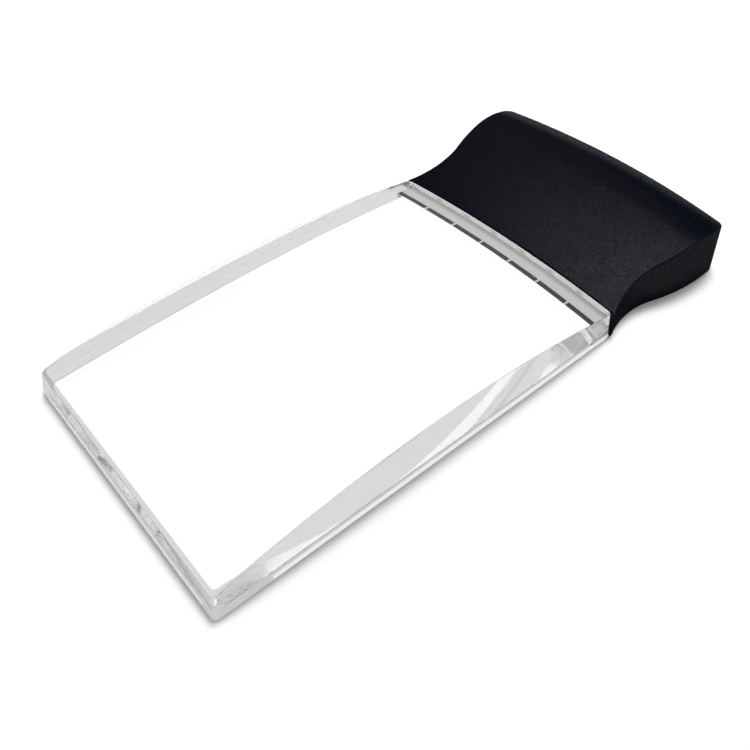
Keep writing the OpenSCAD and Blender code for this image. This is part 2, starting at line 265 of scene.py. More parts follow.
@dataclass(frozen=True)
class CoatFinish(Speckled):
    """A soft-touch coat: nearly all of it is matt, and a small share of it shines.

    Attributes:
        shine: least and greatest share that shines, the same from every side.
    """

    shine: tuple[float, float] = (0.0, 0.021)

    def material(self) -> bpy.types.Material:
        """Builds the material.

        Returns:
            The new material.
        """
        material, tree = new_material(self.name)
        colour, fleck, grain = self.speckle(tree)
        share = add_node(tree, "MapRange",
                         {"Value": fleck, "To Min": self.shine[0], "To Max": self.shine[1]})
        matt = add_node(tree, "BsdfDiffuse", {"Color": colour, "Roughness": 1.0, "Normal": grain})
        gloss = add_node(tree, "BsdfAnisotropic",
                         {"Color": from_hex(WHITE), "Roughness": self.roughness, "Normal": grain})
        mix = add_node(tree, "MixShader", {0: share, 1: matt, 2: gloss})
        add_node(tree, "OutputMaterial", {"Surface": mix})
        return material


@dataclass(frozen=True)
class ClearFinish:
    """Clear acrylic, which lets light from lamps straight through so that the page under it is lit.

    Attributes:
        name: what it is made of and how.
        tint: hex colour of light that has come in through it; grey here is painted shade.
        inner: hex colour of light that has gone out through it; grey here is painted shade.
        mirror: hex colour of light that it turns back, white where none is lost; grey here is painted shade.
        shade: hex colour of lamp light that reaches the ground through it.
        roughness: 0 for polished faces, more for satin ones.
        haze: share of the light inside that fine scratches scatter.
        painted_light_share: share of its outside that has light painted on it, a stand-in for light the
            block pipes out there.
        scratch: hex colour of the scratches.
        ripple: height in mm of the slight waviness a cast sheet has.
        wave: length of that waviness in mm.
        ior: index of refraction.
    """

    name: str
    tint: str = WHITE
    inner: str = WHITE
    mirror: str = WHITE
    shade: str = WHITE
    roughness: float = 0.0
    haze: float = 0.0
    painted_light_share: float = 0.0
    scratch: str = "dcdddc"
    ripple: float = 0.0005
    wave: float = 30.0
    ior: float = 1.49

    def material(self) -> bpy.types.Material:
        """Builds the material.

        Returns:
            The new material.
        """
        material, tree = new_material(self.name)
        place = add_node(tree, "TexCoord").outputs["Object"]
        noise = add_node(tree, "TexNoise", {"Vector": place, "Scale": 1 / mm(self.wave), "Detail": 1.0})
        bump = add_node(tree, "Bump", {"Height": noise, "Distance": mm(self.ripple), "Strength": 1.0})
        inside = add_node(tree, "NewGeometry").outputs["Backfacing"]
        colour = add_node(tree, "Mix",
                          {"Factor": inside, "A": from_hex(self.tint), "B": from_hex(self.inner)},
                          data_type="RGBA")
        clear = add_node(tree, "BsdfPrincipled",
                         {"Base Color": colour, "Normal": bump, "Roughness": self.roughness,
                          "Specular Tint": from_hex(self.mirror), "IOR": self.ior,
                          "Transmission Weight": 1.0})
        scratches = add_node(tree, "BsdfDiffuse", {"Color": from_hex(self.scratch)})
        scattered = add_node(tree, "Math", {0: inside, 1: self.haze}, operation="MULTIPLY")
        shader = add_node(tree, "MixShader", {0: scattered, 1: clear, 2: scratches})
        # Painted light along the foot of the walls, seen only from outside
        if self.painted_light_share:
            shader = self.add_painted_light(tree, shader, inside)
            material.cycles.emission_sampling = "NONE"
        add_node(tree, "OutputMaterial", {"Surface": let_light_by(tree, shader, self.shade)})
        return material

    def add_painted_light(self, tree: Tree, shader: Node, inside: Socket) -> Node:
        """Paints light on the outside of the block, a stand-in for the light that the block sends out there.

        Args:
            tree: the node tree of the material.
            shader: the clear surface.
            inside: 1 where the surface is seen from inside the block.

        Returns:
            The shader to use instead.
        """
        painted_light = add_node(tree, "Emission", {"Color": from_hex(WHITE), "Strength": 1.0})
        outside = add_node(tree, "Math", {0: 1.0, 1: inside}, operation="SUBTRACT")
        share = add_node(tree, "Math", {0: outside, 1: self.painted_light_share}, operation="MULTIPLY")
        return add_node(tree, "MixShader", {0: share, 1: shader, 2: painted_light})


@dataclass(frozen=True)
class FrostedFinish:
    """Sanded acrylic that scatters light, with a duller spot at each diode behind it.

    Attributes:
        name: what it is made of and how.
        base: hex colour of most of it.
        spot: hex colour of the spots.
        pitch: distance between spots in mm.
        reach: radius of a spot in mm.
        middle: height of the spots in mm.
        painted_light: strength of the light painted on it, a stand-in for light that the clear block pipes
            to it.
    """

    name: str
    base: str
    spot: str
    pitch: float
    reach: float
    middle: float
    painted_light: float

    def material(self) -> bpy.types.Material:
        """Builds the material.

        Returns:
            The new material.
        """
        material, tree = new_material(self.name)
        place = add_node(tree, "TexCoord").outputs["Object"]
        parts = add_node(tree, "SeparateXYZ", {"Vector": place})
        half = mm(self.pitch / 2)
        across = add_node(tree, "Math", {0: parts.outputs["Y"], 1: half}, operation="PINGPONG")
        off = add_node(tree, "Math", {0: half, 1: across}, operation="SUBTRACT")
        rise = add_node(tree, "Math", {0: parts.outputs["Z"], 1: mm(self.middle)}, operation="SUBTRACT")
        gap = add_node(tree, "CombineXYZ", {"X": off, "Y": rise})
        far = add_node(tree, "VectorMath", {0: gap}, operation="LENGTH")
        dull = add_node(tree, "MapRange",
                        {"Value": far, "From Min": 0.0, "From Max": mm(self.reach)},
                        interpolation_type="SMOOTHSTEP")
        colour = add_node(tree, "Mix",
                          {"Factor": dull, "A": from_hex(self.spot), "B": from_hex(self.base)},
                          data_type="RGBA")
        # Emission here is painted light, a stand-in for light that the block pipes to its end
        milk = add_node(tree, "BsdfPrincipled",
                        {"Base Color": colour, "Roughness": 1.0, "Specular IOR Level": 0.0,
                         "Emission Color": colour, "Emission Strength": self.painted_light})
        add_node(tree, "OutputMaterial", {"Surface": let_light_by(tree, milk, self.base)})
        return material


# Finishes of the grip and what is in it; a grain finer than 0.3 mm is drawn coarser, so that it shows

# A dark, slightly blue skin with pale specks, drawn three times as coarse as they are
SOFT_BLACK = CoatFinish("black soft-touch coating, sprayed", "070a15", "12151f",
                        grain=0.5, relief=0.012, roughness=0.18, span=(0.3, 0.7))
# Plainer and a little greyer than the grip, with hardly a reflection
MOULDED_BLACK = Finish("black ABS, moulded with a fine matt texture", "101113", "17181a",
                       grain=0.5, relief=0.01, roughness=0.6, shine=0.2)
# Clean and pale through the end of the block: a grey base with painted light for what the block pipes to it
WHITE_TAPE = Finish("white foam tape, die cut, with painted light", "8e908f", "868887",
                    grain=0.6, relief=0.01, roughness=0.9, shine=0.1, painted_light=1.2)
# Dull, with dark pores
GREY_FOAM = Finish("grey polyurethane foam, sliced", "4a4a4c", "2e2e30",
                   grain=0.5, relief=0.05, roughness=0.9)
# Smooth and brassy, with a soft highlight along each cell
CELL_JACKET = Finish("plain printed film, shrunk on a steel can", "b98a2e", "a97b24",
                     grain=4.0, relief=0.002, roughness=0.3)
# Warm bright metal with faint rolling marks
NICKEL_STRIP = Finish("nickel-plated steel strip, stamped", "c9c4ba", "b4afa5",
                      grain=0.3, relief=0.003, roughness=0.28, metallic=1.0)
# Creamy and a little glossy, with the weave just showing
WHITE_BOARD = Finish("white solder mask on fibre board", "eceae2", "dcdad0",
                     grain=1.2, relief=0.004, roughness=0.35)
# A soft yellow, cloudy where the powder is thicker
LED_PACKAGE = Finish("yellow phosphor in a white package", "f0dc82", "e8cf60",
                     grain=0.8, relief=0.004, roughness=0.3)
# Small dark blocks with a dull top
CHIP_BODY = Finish("black chip resistor, printed ceramic", "1a1a1c", "28282b",
                   grain=0.3, relief=0.003, roughness=0.45)
# Clean white with a soft gloss
WHITE_MOULDING = Finish("white polycarbonate, moulded", "eeeeea", "e2e2dd",
                        grain=0.8, relief=0.003, roughness=0.35)
# Deep green lacquer with the weave just showing
GREEN_BOARD = Finish("green solder mask on fibre board", "1c6b3a", "175930",
                     grain=0.9, relief=0.004, roughness=0.35)
# Near black and half matt
SWITCH_HOUSING = Finish("black nylon switch housing, moulded", "151517", "1f1f22",
                        grain=0.4, relief=0.004, roughness=0.5)
# Smoother than the grip round it, but not bright
BUTTON_BLACK = Finish("black ABS button, moulded and polished", "141416", "1b1b1e",
                      grain=0.6, relief=0.002, roughness=0.45, shine=0.1)
# Grey metal, cooler and duller than nickel
ZINC_SCREW = Finish("zinc-plated steel screw, rolled", "a9abab", "8f9192",
                    grain=0.4, relief=0.004, roughness=0.35, metallic=1.0)
# Flat black with a dusty grain
FOOT_RUBBER = Finish("black rubber pad, die cut", "121212", "1e1e1e", grain=0.3, relief=0.02, roughness=0.8)
# Even colour with a long soft highlight
RED_LEAD = Finish("red PVC insulation, extruded", "b01818", "981212", grain=1.5, relief=0.002, roughness=0.4)
BLACK_LEAD = Finish("black PVC insulation, extruded", "141414", "1e1e1e",
                    grain=1.5, relief=0.002, roughness=0.4)

# Finishes of the lens

# Nothing but the page, and a mirror where it is seen at a low angle
CLEAR_ACRYLIC = ClearFinish("clear acrylic, cast and polished")
# Painted shade: pale grey tints for the dimmer surroundings seen in the walls, a little cloudy from inside
WALL_ACRYLIC = ClearFinish("clear acrylic wall, sawn and flame polished", tint="eaebea", inner="c8c9c8",
                           mirror="c8c9c8", shade="383838", roughness=0.05, haze=0.05)
# The same wall with painted light along its foot, drawn as a bright line
PAINTED_LINE_ACRYLIC = replace(WALL_ACRYLIC, name="clear acrylic wall, with painted light along its foot", painted_light_share=0.6)
# Painted shade: a grey tint that draws a darker line along the rounded edges
EASED_ACRYLIC = ClearFinish("clear acrylic edge, rounded and buffed, with painted shade", tint="b0b1b0", inner="a8a9a8",
                            mirror="dcdddc", shade="383838")
# A milky light grey border under the lens: its satin scatters light, and its grey tint is painted shade
SATIN_ACRYLIC = ClearFinish("clear acrylic rim, satin from the mould, with painted shade", tint="cccdcc", inner="cccdcc",
                            mirror="f0f1f0", shade="f4f4f4", roughness=0.3, haze=0.8)
# An even pale face with painted light for what the block pipes to its end, and faint smudges
FROSTED_ACRYLIC = FrostedFinish("clear acrylic end, sanded where the lamps shine in", "c2c4c1", "989a98",
                                pitch=14.0, reach=3.0, middle=5.0, painted_light=0.7)

LENS_FINISHES = {
    Face.POLISHED: CLEAR_ACRYLIC,
    Face.WALL: WALL_ACRYLIC,
    Face.SATIN: SATIN_ACRYLIC,
    Face.FROSTED: FROSTED_ACRYLIC,
    Face.EASED: EASED_ACRYLIC,
    Face.PAINTED_LINE: PAINTED_LINE_ACRYLIC,
}


@dataclass
class Sheet:
    """Collects quads and turns them into one mesh object."""

    name: str
    corners: list[Point] = field(default_factory=list)
    quads: list[tuple[int, ...]] = field(default_factory=list)
    kinds: list[int] = field(default_factory=list)

    def grid(self, rows: list[list[Point]], flip: bool = False,
             kind: Callable[[int, int], int | None] = lambda i, j: 0) -> None:
        """Adds a grid of quads.

        Args:
            rows: points in rows of one length.
            flip: turns the faces over.
            kind: gives each quad its material number, or None to leave the quad out.
        """
        start = len(self.corners)
        width = len(rows[0])
        for row in rows:
            self.corners.extend(row)
        for i in range(len(rows) - 1):
            for j in range(width - 1):
                number = kind(i, j)
                if number is None:
                    continue
                at = start + i * width + j
                quad = (at, at + 1, at + width + 1, at + width)
                self.quads.append(quad[::-1] if flip else quad)
                self.kinds.append(number)

    def finish(self, join: float, crisp_angle: float) -> bpy.types.Object:
        """Joins the grids where they meet.

        Args:
            join: corners nearer than this, in metres, become one.
            crisp_angle: bend in degrees from which edges stay crisp, as those between finishes do.

        Returns:
            The mesh object, linked to the scene.
        """
        mesh = bpy.data.meshes.new(self.name)
        mesh.from_pydata(self.corners, [], self.quads)
        mesh.polygons.foreach_set("material_index", self.kinds)
        shape = bmesh.new()
        shape.from_mesh(mesh)
        bmesh.ops.remove_doubles(shape, verts=shape.verts, dist=join)
        bmesh.ops.dissolve_degenerate(shape, edges=shape.edges, dist=join)
        bmesh.ops.recalc_face_normals(shape, faces=shape.faces)
        for face in shape.faces:
            face.smooth = True
        for edge in shape.edges:
            bend = edge.calc_face_angle(0.0) if len(edge.link_faces) == 2 else math.pi
            finishes = {face.material_index for face in edge.link_faces}
            edge.smooth = bend < math.radians(crisp_angle) and len(finishes) == 1
        shape.to_mesh(mesh)
        shape.free()
        return add_object(self.name, mesh)


@dataclass
class Joint:
    """The arc, seen from above, where the lens meets the grip, and where the object's middle is, in mm."""

    radius: float = 430.0
    half: float = 50.0
    middle_at: float = -46.12

    def ahead(self, across: float) -> float:
        """How far the arc stands ahead of its ends, in mm, at a place across the object."""
        return math.sqrt(self.radius**2 - across**2) - math.sqrt(self.radius**2 - self.half**2)

    def point(self, along: float, across: float, up: float) -> Point:
        """A point of the model in metres, from mm along from the joint, across and up."""
        return (mm(along - self.middle_at), mm(across), mm(up))


@dataclass
class Lens:
    """The clear block, its rim and the rebate that takes the ledge of the base, in mm.

    The lean of a wall is its run over its rise. Eases are the radii of rounded edges: of the foot, of the
    shoulder, and of the shoulder at the free end. The painted rings are the heights of three rings round the
    walls, between which these carry painted light, and the clears are the lengths near the corners without
    it.
    """

    joint: Joint
    length: float = 155.0
    end_height: float = 9.2
    arch: float = 7.0
    base_half: float = 51.5
    side_lean: float = 0.13
    end_lean: float = 0.2
    corner: float = 1.5
    rim: float = 4.0
    rim_height: float = 0.4
    rebate_length: float = 8.1
    rebate_half: float = 49.4
    rebate_height: float = 2.3
    step: float = 0.02
    foot: float = 0.05
    ease: float = 0.2
    free_ease: float = 1.3
    free_reach: float = 12.0
    bow_from: float = -60.0
    bow_full: float = -15.0
    painted_rings: tuple[float, ...] = (0.1, 1.0, 1.9)
    long_clear: float = 18.0
    short_clear: float = 4.0
    crisp_angle: float = 32.0
    corner_steps: int = 10
    edge_steps: int = 6
    length_steps: int = 72
    width_steps: int = 5

    @property
    def base_end(self) -> float:
        """Where the free end meets the table, in mm along from the joint."""
        return -self.length - self.end_lean * self.end_height

    def top(self, along: float) -> float:
        """Height of the arched top.

        Args:
            along: place along the lens, in mm from the joint.

        Returns:
            The height in mm.
        """
        half = (self.length + self.joint.ahead(0) / 2) / 2
        radius = (half * half + self.arch * self.arch) / (2 * self.arch)
        off = along + self.length - half
        return self.end_height + self.arch - radius + math.sqrt(radius * radius - off * off)

    def half_width(self, station: float) -> float:
        """Half the width of the base, drawn in at the rounded corners.

        Args:
            station: place along the base, in mm from the joint.

        Returns:
            Half the width in mm.
        """
        near = min(station - self.base_end, -station)
        if near >= self.corner:
            return self.base_half
        inside = self.corner - near
        return self.base_half - self.corner + math.sqrt(max(self.corner**2 - inside**2, 0.0))

    def stations(self) -> list[float]:
        """Stations along the lens, closer together round the corners and doubled at each step underneath.

        Returns:
            Places in mm from the joint, from the free end on.
        """
        turns = [self.corner * (1 - math.cos(turn)) for turn in quarter_turn(self.corner_steps)]
        ends = [self.base_end + turn for turn in turns] + [-turn for turn in turns]
        span = -self.base_end - 2 * self.corner
        count = self.length_steps
        body = [self.base_end + self.corner + span * i / count for i in range(1, count)]
        edges = [self.base_end + self.rim, -self.rebate_length]
        steps = [edge + side * self.step for edge in edges for side in (-1, 1)]
        return sorted(set(ends + body + steps))

    def shares(self) -> list[float]:
        """Places across the lens, doubled at each step underneath.

        Returns:
            Shares of the half width from -1 to 1.
        """
        edges = [self.base_half - self.rim, self.rebate_half]
        steps = [(edge + side * self.step) / self.base_half for edge in edges for side in (-1, 1)]
        positive = steps + [i / self.width_steps for i in range(1, self.width_steps + 1)]
        return sorted([-share for share in positive] + [0.0] + positive)

    def along(self, station: float, across: float) -> float:
        """Where a station is at a place across: straight at the free end and bowed at the grip."""
        bowed = smooth_step(self.bow_from, self.bow_full, station)
        return station + bowed * self.joint.ahead(across)

    def free_share(self, station: float) -> float:
        """How far a station follows the free end: 1 there and 0 from a little way on."""
        return 1 - smooth_step(0, self.free_reach, station - self.base_end)

    def underside(self, station: float, across: float) -> float:
        """Height of the underside: rim, optical face or rebate.

        Args:
            station: place along the base, in mm from the joint.
            across: place across, in mm from the middle.

        Returns:
            The height in mm.
        """
        across = abs(across)
        if station > -self.rebate_length and across < self.rebate_half:
            return self.rebate_height
        on_face = station > self.base_end + self.rim and across < self.base_half - self.rim
        return self.rim_height if on_face else 0.0

    def low_point(self, station: float, share: float, turn: float) -> Point:
        """A point of the foot.

        Args:
            station: place along the base, in mm from the joint.
            share: place across, from -1 to 1.
            turn: angle round the edge, from 0 on the underside to a right angle on the wall.

        Returns:
            The point in metres.
        """
        half = self.half_width(station)
        inset = self.foot * (1 - math.sin(turn))
        lift = self.foot * (1 - math.cos(turn))
        across = share * half
        along = self.along(station, across) + inset * self.free_share(station)
        drawn_in = math.copysign(inset, share) if abs(share) == 1 else 0.0
        return self.joint.point(along, across - drawn_in, self.underside(station, across) + lift)

    def high_point(self, station: float, share: float, turn: float) -> Point:
        """A point of the shoulder.

        Args:
            station: place along the base, in mm from the joint.
            share: place across, from -1 to 1.
            turn: angle round the edge, from 0 on the wall to a right angle on the top.

        Returns:
            The point in metres.
        """
        half = self.half_width(station)
        radius = self.ease + (self.free_ease - self.ease) * self.free_share(station)
        inset = radius * (1 - math.cos(turn))
        drop = radius * (1 - math.sin(turn))
        along = self.along(station, share * half)
        height = self.top(along)
        along += (self.end_lean * height + inset) * self.free_share(station)
        across = share * (half - self.side_lean * height)
        drawn_in = math.copysign(inset, share) if abs(share) == 1 else 0.0
        return self.joint.point(along, across - drawn_in, self.top(along) - drop)

    def wall_point(self, station: float, share: float, up: float) -> Point:
        """A point of the wall, on the line from the foot to the shoulder.

        Args:
            station: place along the base, in mm from the joint.
            share: place across, from -1 to 1.
            up: height in mm, taken as the foot's where that is higher.

        Returns:
            The point in metres.
        """
        foot = Vector(self.low_point(station, share, math.pi / 2))
        shoulder = Vector(self.high_point(station, share, 0.0))
        part = max(mm(up) - foot.z, 0.0) / (shoulder.z - foot.z)
        return tuple(foot.lerp(shoulder, part))

    def long_painted_rings(self, station: float) -> range:
        """Rings of a long wall that carry painted light: both, except near the free end."""
        return range(1, 3) if station - self.base_end > self.long_clear else range(0)

    def short_painted_rings(self, share: float) -> range:
        """Rings of the free end that carry painted light: the upper one, except near the corners."""
        return range(2, 3) if abs(share) < 1 - self.short_clear / self.base_half else range(0)

    def wall_kind(self, ring: int, bright: range) -> int:
        """Material number of a quad of a wall.

        Args:
            ring: its place up the wall: less than 0 on the foot, then the flat rings, then the shoulder.
            bright: the flat rings that carry painted light there.

        Returns:
            The number of its finish.
        """
        if not 0 <= ring <= len(self.painted_rings):
            return Face.EASED.value
        return Face.PAINTED_LINE.value if ring in bright else Face.WALL.value

    def face_kind(self, station: float, share: float) -> int:
        """Material number of a quad of the underside: the rim is satin."""
        flat = self.underside(station, share * self.base_half) == 0.0
        return Face.SATIN.value if flat else Face.POLISHED.value

    def build(self) -> bpy.types.Object:
        """Makes the lens from a grid over its top, one over its underside and walls with eased edges.

        Returns:
            The mesh object.
        """
        stations = self.stations()
        shares = self.shares()
        turns = quarter_turn(self.edge_steps)
        rings = [(self.low_point, turn) for turn in turns]
        rings += [(self.wall_point, up) for up in self.painted_rings]
        rings += [(self.high_point, turn) for turn in turns]
        skins = [[[point(station, share, at) for share in shares] for station in stations]
                 for point, at in rings]
        halfway = [(start + end) / 2 for start, end in zip(stations, stations[1:])]
        middles = [(left + right) / 2 for left, right in zip(shares, shares[1:])]
        foot_rings = self.edge_steps
        sheet = Sheet("clear_lens")
        sheet.grid(skins[-1])
        sheet.grid(skins[0], True, lambda i, j: self.face_kind(halfway[i], middles[j]))
        for edge in (0, -1):
            sheet.grid([[row[edge] for row in skin] for skin in skins],
                       kind=lambda i, j: self.wall_kind(i - foot_rings, self.long_painted_rings(stations[j])))
        sheet.grid([skin[0] for skin in skins],
                   kind=lambda i, j: self.wall_kind(i - foot_rings, self.short_painted_rings(middles[j])))
        sheet.grid([skin[-1] for skin in skins], kind=lambda i, j: Face.FROSTED.value)
        return sheet.finish(mm(self.step) / 4, self.crisp_angle)

    def dress(self) -> None:
        """Puts the lens in the frame with its finishes."""
        lens = self.build()
        for face in Face:
            lens.data.materials.append(LENS_FINISHES[face].material())
        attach(lens, ROOT)
        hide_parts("lens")
        log.info("lens: %d corners", len(lens.data.vertices))


@dataclass
class Grip:
    """The black shell: a swelling rise from the lens, a waist, a flare and a rounded rear lip, in mm.

    Places along are measured from the joint, and halves from the middle of the grip. The window is the
    opening in the front, behind which the lamps stand.
    """

    joint: Joint
    front_height: float = 9.2
    crest_height: float = 19.5
    length: float = 60.5
    wall: float = 1.8
    skirt: float = 0.3
    waist_half: float = 48.6
    flare_half: float = 53.8
    side_lean: float = 0.09
    window_half: float = 45.4
    window_top: float = 7.5
    crest_at: float = 46.5
    crest_radius: float = 41.5
    rise_radius: float = 370.0
    rear_round: float = 3.5
    rear_radius: float = 270.0
    waist_at: float = 15.0
    waist_radius: float = 34.0
    flare_at: float = 49.5
    corner: float = 5.5
    ease: float = 0.7
    button_z: float = 7.9
    button_radius: float = 4.5
    button_depth: float = 8.0
    button_sides: int = 64
    crisp_angle: float = 40.0
    join: float = 0.001
    rise_steps: int = 40
    rear_steps: int = 12
    window_steps: int = 24
    ease_steps: int = 3

    def top(self, along: float) -> float:
        """Height of the top, from two arcs that meet smoothly.

        Args:
            along: place along the grip in mm.

        Returns:
            The height in mm.
        """
        start = Vector((0.0, self.front_height))
        crest = Vector((self.crest_at, self.crest_height - self.crest_radius))
        gap = (crest - start).length
        apart = self.rise_radius - self.crest_radius
        reach = (self.rise_radius**2 - apart**2 + gap * gap) / (2 * gap)
        off = math.sqrt(self.rise_radius**2 - reach * reach)
        way = (crest - start) / gap
        rise = start + reach * way - off * Vector((-way.y, way.x))
        meet = crest.x - (rise.x - crest.x) * self.crest_radius / apart
        if along < meet:
            return rise.y + math.sqrt(self.rise_radius**2 - (along - rise.x) ** 2)
        return crest.y + math.sqrt(self.crest_radius**2 - (along - crest.x) ** 2)

    def profile(self) -> list[tuple[float, float]]:
        """The outline of the top from the joint to the top of the rear face.

        Returns:
            Points along and up, in mm.
        """
        apart = self.crest_radius - self.rear_round
        centre_at = self.length - self.rear_round
        tilt = math.asin((centre_at - self.crest_at) / apart)
        centre_z = self.crest_height - self.crest_radius + apart * math.cos(tilt)
        start = self.crest_at + self.crest_radius * math.sin(tilt)
        places = [start * i / self.rise_steps for i in range(self.rise_steps)]
        turns = [tilt + (math.pi / 2 - tilt) * i / self.rear_steps for i in range(self.rear_steps + 1)]
        radius = self.rear_round
        rounded = [(centre_at + radius * math.sin(turn), centre_z + radius * math.cos(turn))
                   for turn in turns]
        return [(place, self.top(place)) for place in places] + rounded

    def half_width(self, along: float, up: float) -> float:
        """Half the width, from the arcs of waist and flare and the rounded rear corner.

        Args:
            along: place along the grip in mm.
            up: height in mm.

        Returns:
            Half the width in mm.
        """
        waist_y = self.waist_half + self.waist_radius
        drop = waist_y - self.flare_half
        run = self.flare_at - self.waist_at
        flare_radius = (run * run + drop * drop - self.waist_radius**2) / (2 * (self.waist_radius - drop))
        flare_y = self.flare_half - flare_radius
        meet = self.waist_at + run * self.waist_radius / (self.waist_radius + flare_radius)
        if along < meet:
            half = waist_y - math.sqrt(self.waist_radius**2 - (along - self.waist_at) ** 2)
        else:
            half = flare_y + math.sqrt(flare_radius**2 - (along - self.flare_at) ** 2)
        corner_at = self.length - self.corner
        if along > corner_at:
            edge = flare_y + math.sqrt(flare_radius**2 - (corner_at - self.flare_at) ** 2)
            inside = min(along - corner_at, self.corner)
            half = edge - self.corner + math.sqrt(self.corner**2 - inside * inside)
        return half - self.side_lean * up

    def point(self, along: float, share: float, up: float) -> Point:
        """A point of the skin, bowed to follow the joint at the front and the rounder rear.

        Args:
            along: place along the grip in mm.
            share: place across, from -1 to 1.
            up: height in mm.

        Returns:
            The point in metres.
        """
        across = share * self.half_width(along, up)
        front = self.joint.ahead(across)
        bow = self.rear_radius - math.sqrt(self.rear_radius**2 - across**2)
        rear = self.joint.ahead(0) - bow
        bowed = front + (rear - front) * along / self.length
        return self.joint.point(along + bowed, across, up)

    def build(self) -> bpy.types.Object:
        """Makes the skin, gives it thickness and cuts the hole for the button.

        Returns:
            The mesh object.
        """
        window = self.window_half / self.half_width(0, self.window_top)
        half_steps = self.window_steps / 2
        inner = [window * (i / half_steps - 1) for i in range(1, self.window_steps)]
        shares = sorted([-1.0, -window, window, 1.0] + inner)
        bend = (self.window_top - self.skirt) / (self.front_height - self.skirt)
        levels = [0.0, bend, 1.0]
        path = self.profile()
        rear_at, rear_top = path[-1]
        front = [(0.0, self.skirt), (0.0, self.window_top)]
        rear = [(rear_at, self.skirt + (rear_top - self.skirt) * level) for level in (bend, 0.0)]
        rows = [[self.point(at, share, up) for share in shares] for at, up in front + path + rear]

        def skin_kind(i: int, j: int) -> int | None:
            """Leaves the window out of the front."""
            in_window = i == 0 and abs(shares[j] + shares[j + 1]) < 2 * window
            return None if in_window else 0

        sheet = Sheet("black_grip")
        sheet.grid(rows, kind=skin_kind)
        for side in (-1.0, 1.0):
            wall = [[self.point(at, side, self.skirt + (up - self.skirt) * level) for level in levels]
                    for at, up in path]
            sheet.grid(wall, side < 0)
        grip = sheet.finish(mm(self.join), self.crisp_angle)
        self.thicken(grip)
        return grip

    def button_hole(self) -> bpy.types.Object:
        """Makes the round cutter for the hole of the button.

        Returns:
            The cutter, linked to the scene.
        """
        shape = bmesh.new()
        turn = Matrix.Rotation(math.radians(90), 4, "Y")
        at = Vector(self.joint.point(self.length + self.joint.ahead(0), 0, self.button_z))
        radius = mm(self.button_radius)
        bmesh.ops.create_cone(shape, cap_ends=True, segments=self.button_sides, radius1=radius,
                              radius2=radius, depth=mm(self.button_depth),
                              matrix=Matrix.Translation(at) @ turn)
        mesh = bpy.data.meshes.new("button hole")
        shape.to_mesh(mesh)
        shape.free()
        return add_object("button hole", mesh)

    def thicken(self, grip: bpy.types.Object) -> None:
        """Eases the edges of the skin, gives it its wall and cuts the button hole.

        Args:
            grip: the skin, which becomes the finished shell.
        """
        ease = grip.modifiers.new("eased edges", "BEVEL")
        ease.width = mm(self.ease)
        ease.segments = self.ease_steps
        ease.limit_method = "ANGLE"
        ease.angle_limit = math.radians(self.crisp_angle)
        ease.harden_normals = True
        wall = grip.modifiers.new("wall", "SOLIDIFY")
        wall.thickness = mm(self.wall)
        wall.offset = -1
        wall.use_even_offset = True
        cutter = self.button_hole()
        cut = grip.modifiers.new("button hole", "BOOLEAN")
        cut.object = cutter
        cut.operation = "DIFFERENCE"
        bpy.context.view_layer.update()
        done = bpy.data.meshes.new_from_object(grip.evaluated_get(bpy.context.evaluated_depsgraph_get()))
        grip.modifiers.clear()
        grip.data = done
        bpy.data.objects.remove(cutter)

    def dress(self) -> None:
        """Puts the grip in the frame with its soft coating."""
        grip = self.build()
        grip.data.materials.clear()
        grip.data.materials.append(SOFT_BLACK.material())
        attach(grip, ROOT)
        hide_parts("upper_shell")
        log.info("grip: %d corners", len(grip.data.vertices))


@dataclass
class Inside:
    """The pieces that stay as the frame has them, each with its finish."""

    nodes: dict[str, bpy.types.Object]
    finishes: dict[str, Finish] = field(default_factory=lambda: {
        "lens_tape": WHITE_TAPE,
        "base_plate": MOULDED_BLACK,
        "battery_door": MOULDED_BLACK,
        "door_pad": GREY_FOAM,
        "front_cell": CELL_JACKET,
        "middle_cell": CELL_JACKET,
        "rear_cell": CELL_JACKET,
        "spring_contacts": NICKEL_STRIP,
        "plate_contacts": NICKEL_STRIP,
        "led_board": WHITE_BOARD,
        "leds": LED_PACKAGE,
        "led_resistors": CHIP_BODY,
        "reflector": WHITE_MOULDING,
        "switch_board": GREEN_BOARD,
        "switch_body": SWITCH_HOUSING,
        "switch_plunger": WHITE_MOULDING,
        "power_button": BUTTON_BLACK,
        "shell_screws": ZINC_SCREW,
        "foot_pads": FOOT_RUBBER,
        "red_lead": RED_LEAD,
        "black_lead": BLACK_LEAD,
        "switch_lead": RED_LEAD,
    })

    def dress(self) -> None:
        """Gives each node its finish."""
        made: dict[str, bpy.types.Material] = {}
        for name, finish in self.finishes.items():
            if finish.name not in made:
                made[finish.name] = finish.material()
            self.nodes[name].data.materials.clear()
            self.nodes[name].data.materials.append(made[finish.name])
            log.info("%s: %s", name, finish.name)


@dataclass(frozen=True)
class Patch:
    """A soft round patch of light in the room, which only shiny faces mirror.

    Attributes:
        towards: direction of its middle.
        edge: cosine of the angle from the middle to its edge.
        full: cosine of the angle from the middle to where it reaches its level.
        level: strength in the middle.
    """

    towards: Point
    edge: float
    full: float
    level: float

    def strength(self, tree: Tree, way: Socket) -> Node:
        """Draws the patch.

        Args:
            tree: the node tree of the world.
            way: the direction that is looked in.

        Returns:
            The strength of the patch in that direction.
        """
        near = add_node(tree, "VectorMath",
                        {0: way, 1: Vector(self.towards).normalized()}, operation="DOT_PRODUCT")
        return add_node(tree, "MapRange",
                        {"Value": near, "From Min": self.edge, "From Max": self.full, "To Max": self.level},
                        interpolation_type="SMOOTHSTEP")


# A box overhead, a low window and a fainter light half way up, which the grip shows as sheens
SHEEN = Patch((0.243, 0.0885, 0.966), edge=0.88, full=0.97, level=3.4)
WINDOW = Patch((0.86, 0.5, 0.05), edge=0.955, full=0.99, level=2.6)
GLIMMER = Patch((0.572, 0.572, 0.588), edge=0.93, full=0.99, level=0.4)


